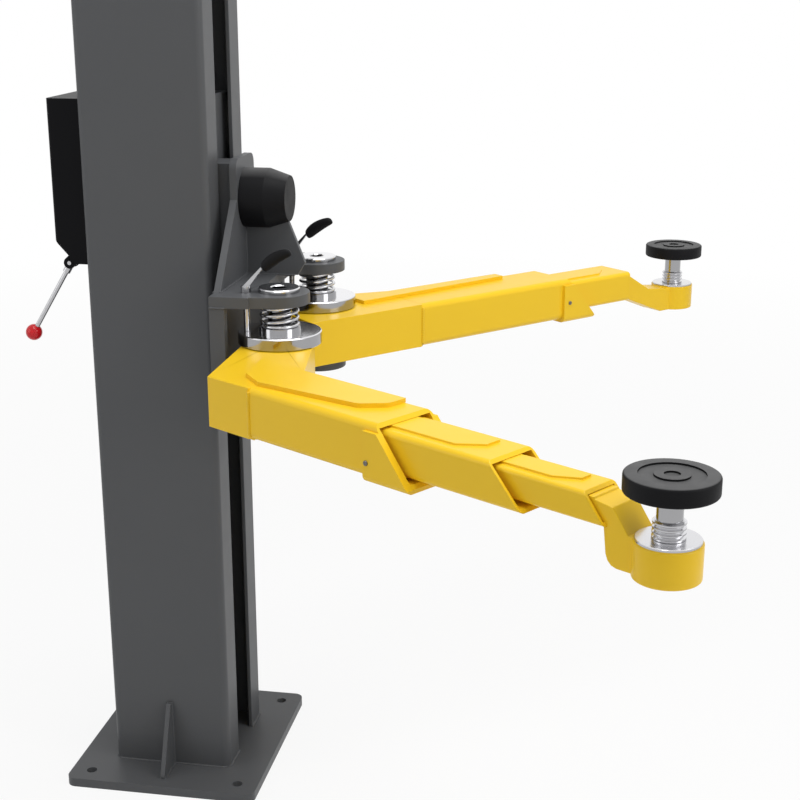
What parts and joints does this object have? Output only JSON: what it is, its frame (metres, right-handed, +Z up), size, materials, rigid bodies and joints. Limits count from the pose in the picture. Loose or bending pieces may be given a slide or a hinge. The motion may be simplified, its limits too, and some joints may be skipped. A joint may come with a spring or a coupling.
{
  "type": "one post of a two post car lift",
  "caption": "Car lift post: a folded C column on a bolted base, with a sliding carriage and swinging telescopic arms that end in round rubber pads.",
  "frame": {"origin": "on the floor under the middle of the post", "axes": "+Z up, +X from the post towards the car, -Y towards the cranked three-part arm"},
  "size_m": [1.399, 1.9213, 2.828],
  "materials": {
    "post_paint": "satin",
    "arm_paint": "gloss",
    "chrome": "polished",
    "bright_steel": "satin",
    "rubber": "matte",
    "black_paint": "satin",
    "red_knob": "gloss",
    "grip": "satin",
    "slide_plastic": "matte"
  },
  "bodies": {
    "post": {"post_channel": "post_paint", "base_plate": "post_paint", "near_base_brace": "post_paint", "far_base_brace": "post_paint", "post_cap": "post_paint", "latch_housing": "black_paint", "near_lever_lug": "black_paint", "far_lever_lug": "black_paint"},
    "latch": {"latch_lever": "bright_steel", "latch_ball": "red_knob"},
    "carriage": {"carriage_box": "post_paint", "carriage_plate": "post_paint", "near_side_plate": "post_paint", "far_side_plate": "post_paint", "lower_ear": "post_paint", "upper_ear": "post_paint", "tower_plate": "post_paint", "tower_gusset": "post_paint", "near_upper_slide_block": "slide_plastic", "near_lower_slide_block": "slide_plastic", "far_upper_slide_block": "slide_plastic", "far_lower_slide_block": "slide_plastic", "door_bumper": "rubber", "near_arm_pin": "chrome", "far_arm_pin": "chrome", "near_pin_spring": "bright_steel", "far_pin_spring": "bright_steel"},
    "near_arm": {"near_arm_head": "arm_paint", "near_arm_top_plate": "arm_paint", "near_lock_disc": "chrome", "near_spring_seat": "chrome", "near_pin_washer": "bright_steel", "near_arm_tube_1": "arm_paint"},
    "near_second_tube": {"near_arm_tube_2": "arm_paint"},
    "near_third_tube": {"near_arm_tube_3": "arm_paint", "near_pad_bracket": "arm_paint", "near_pad_sleeve": "bright_steel"},
    "near_pad": {"near_pad_shaft": "chrome", "near_pad_rubber": "rubber"},
    "far_arm": {"far_arm_head": "arm_paint", "far_arm_top_plate": "arm_paint", "far_lock_disc": "chrome", "far_spring_seat": "chrome", "far_pin_washer": "bright_steel", "far_arm_tube_1": "arm_paint"},
    "far_second_tube": {"far_arm_tube_2": "arm_paint", "far_pad_bracket": "arm_paint", "far_pad_sleeve": "bright_steel"},
    "far_pad": {"far_pad_shaft": "chrome", "far_pad_rubber": "rubber"},
    "near_lock": {"near_lock_rod": "bright_steel", "near_lock_grip": "grip"},
    "far_lock": {"far_lock_rod": "bright_steel", "far_lock_grip": "grip"}
  },
  "joints": [
    {"name": "carriage_lift", "type": "slide", "parent": "post", "child": "carriage", "axis": [0, 0, 1], "range_m": [-0.82, 0.9]},
    {"name": "latch_lever_turn", "type": "hinge", "parent": "post", "child": "latch", "pos_m": [-0.17969, -0.08, 1.12826], "axis": [0, 1, 0], "range_deg": [-12, 12]},
    {"name": "near_arm_swing", "type": "hinge", "parent": "carriage", "child": "near_arm", "pos_m": [0.277, -0.162, 1], "axis": [0, 0, 1], "range_deg": [-12, 30]},
    {"name": "near_second_tube_slide", "type": "slide", "parent": "near_arm", "child": "near_second_tube", "axis": [0.8348, -0.5505, 0], "range_m": [-0.16, 0.11]},
    {"name": "near_third_tube_slide", "type": "slide", "parent": "near_second_tube", "child": "near_third_tube", "axis": [0.8348, -0.5505, 0], "range_m": [-0.12, 0.11]},
    {"name": "near_pad_lift", "type": "slide", "parent": "near_third_tube", "child": "near_pad", "axis": [0, 0, 1], "range_m": [0, 0.06]},
    {"name": "far_arm_swing", "type": "hinge", "parent": "carriage", "child": "far_arm", "pos_m": [0.277, 0.162, 1], "axis": [0, 0, 1], "range_deg": [-30, 30]},
    {"name": "far_second_tube_slide", "type": "slide", "parent": "far_arm", "child": "far_second_tube", "axis": [0.682, 0.7314, 0], "range_m": [-0.13, 0.17]},
    {"name": "far_pad_lift", "type": "slide", "parent": "far_second_tube", "child": "far_pad", "axis": [0, 0, 1], "range_m": [0, 0.06]},
    {"name": "near_lock_lift", "type": "slide", "parent": "carriage", "child": "near_lock", "axis": [0, 0, 1], "range_m": [0, 0.015]},
    {"name": "far_lock_lift", "type": "slide", "parent": "carriage", "child": "far_lock", "axis": [0, 0, 1], "range_m": [0, 0.015]}
  ]
}
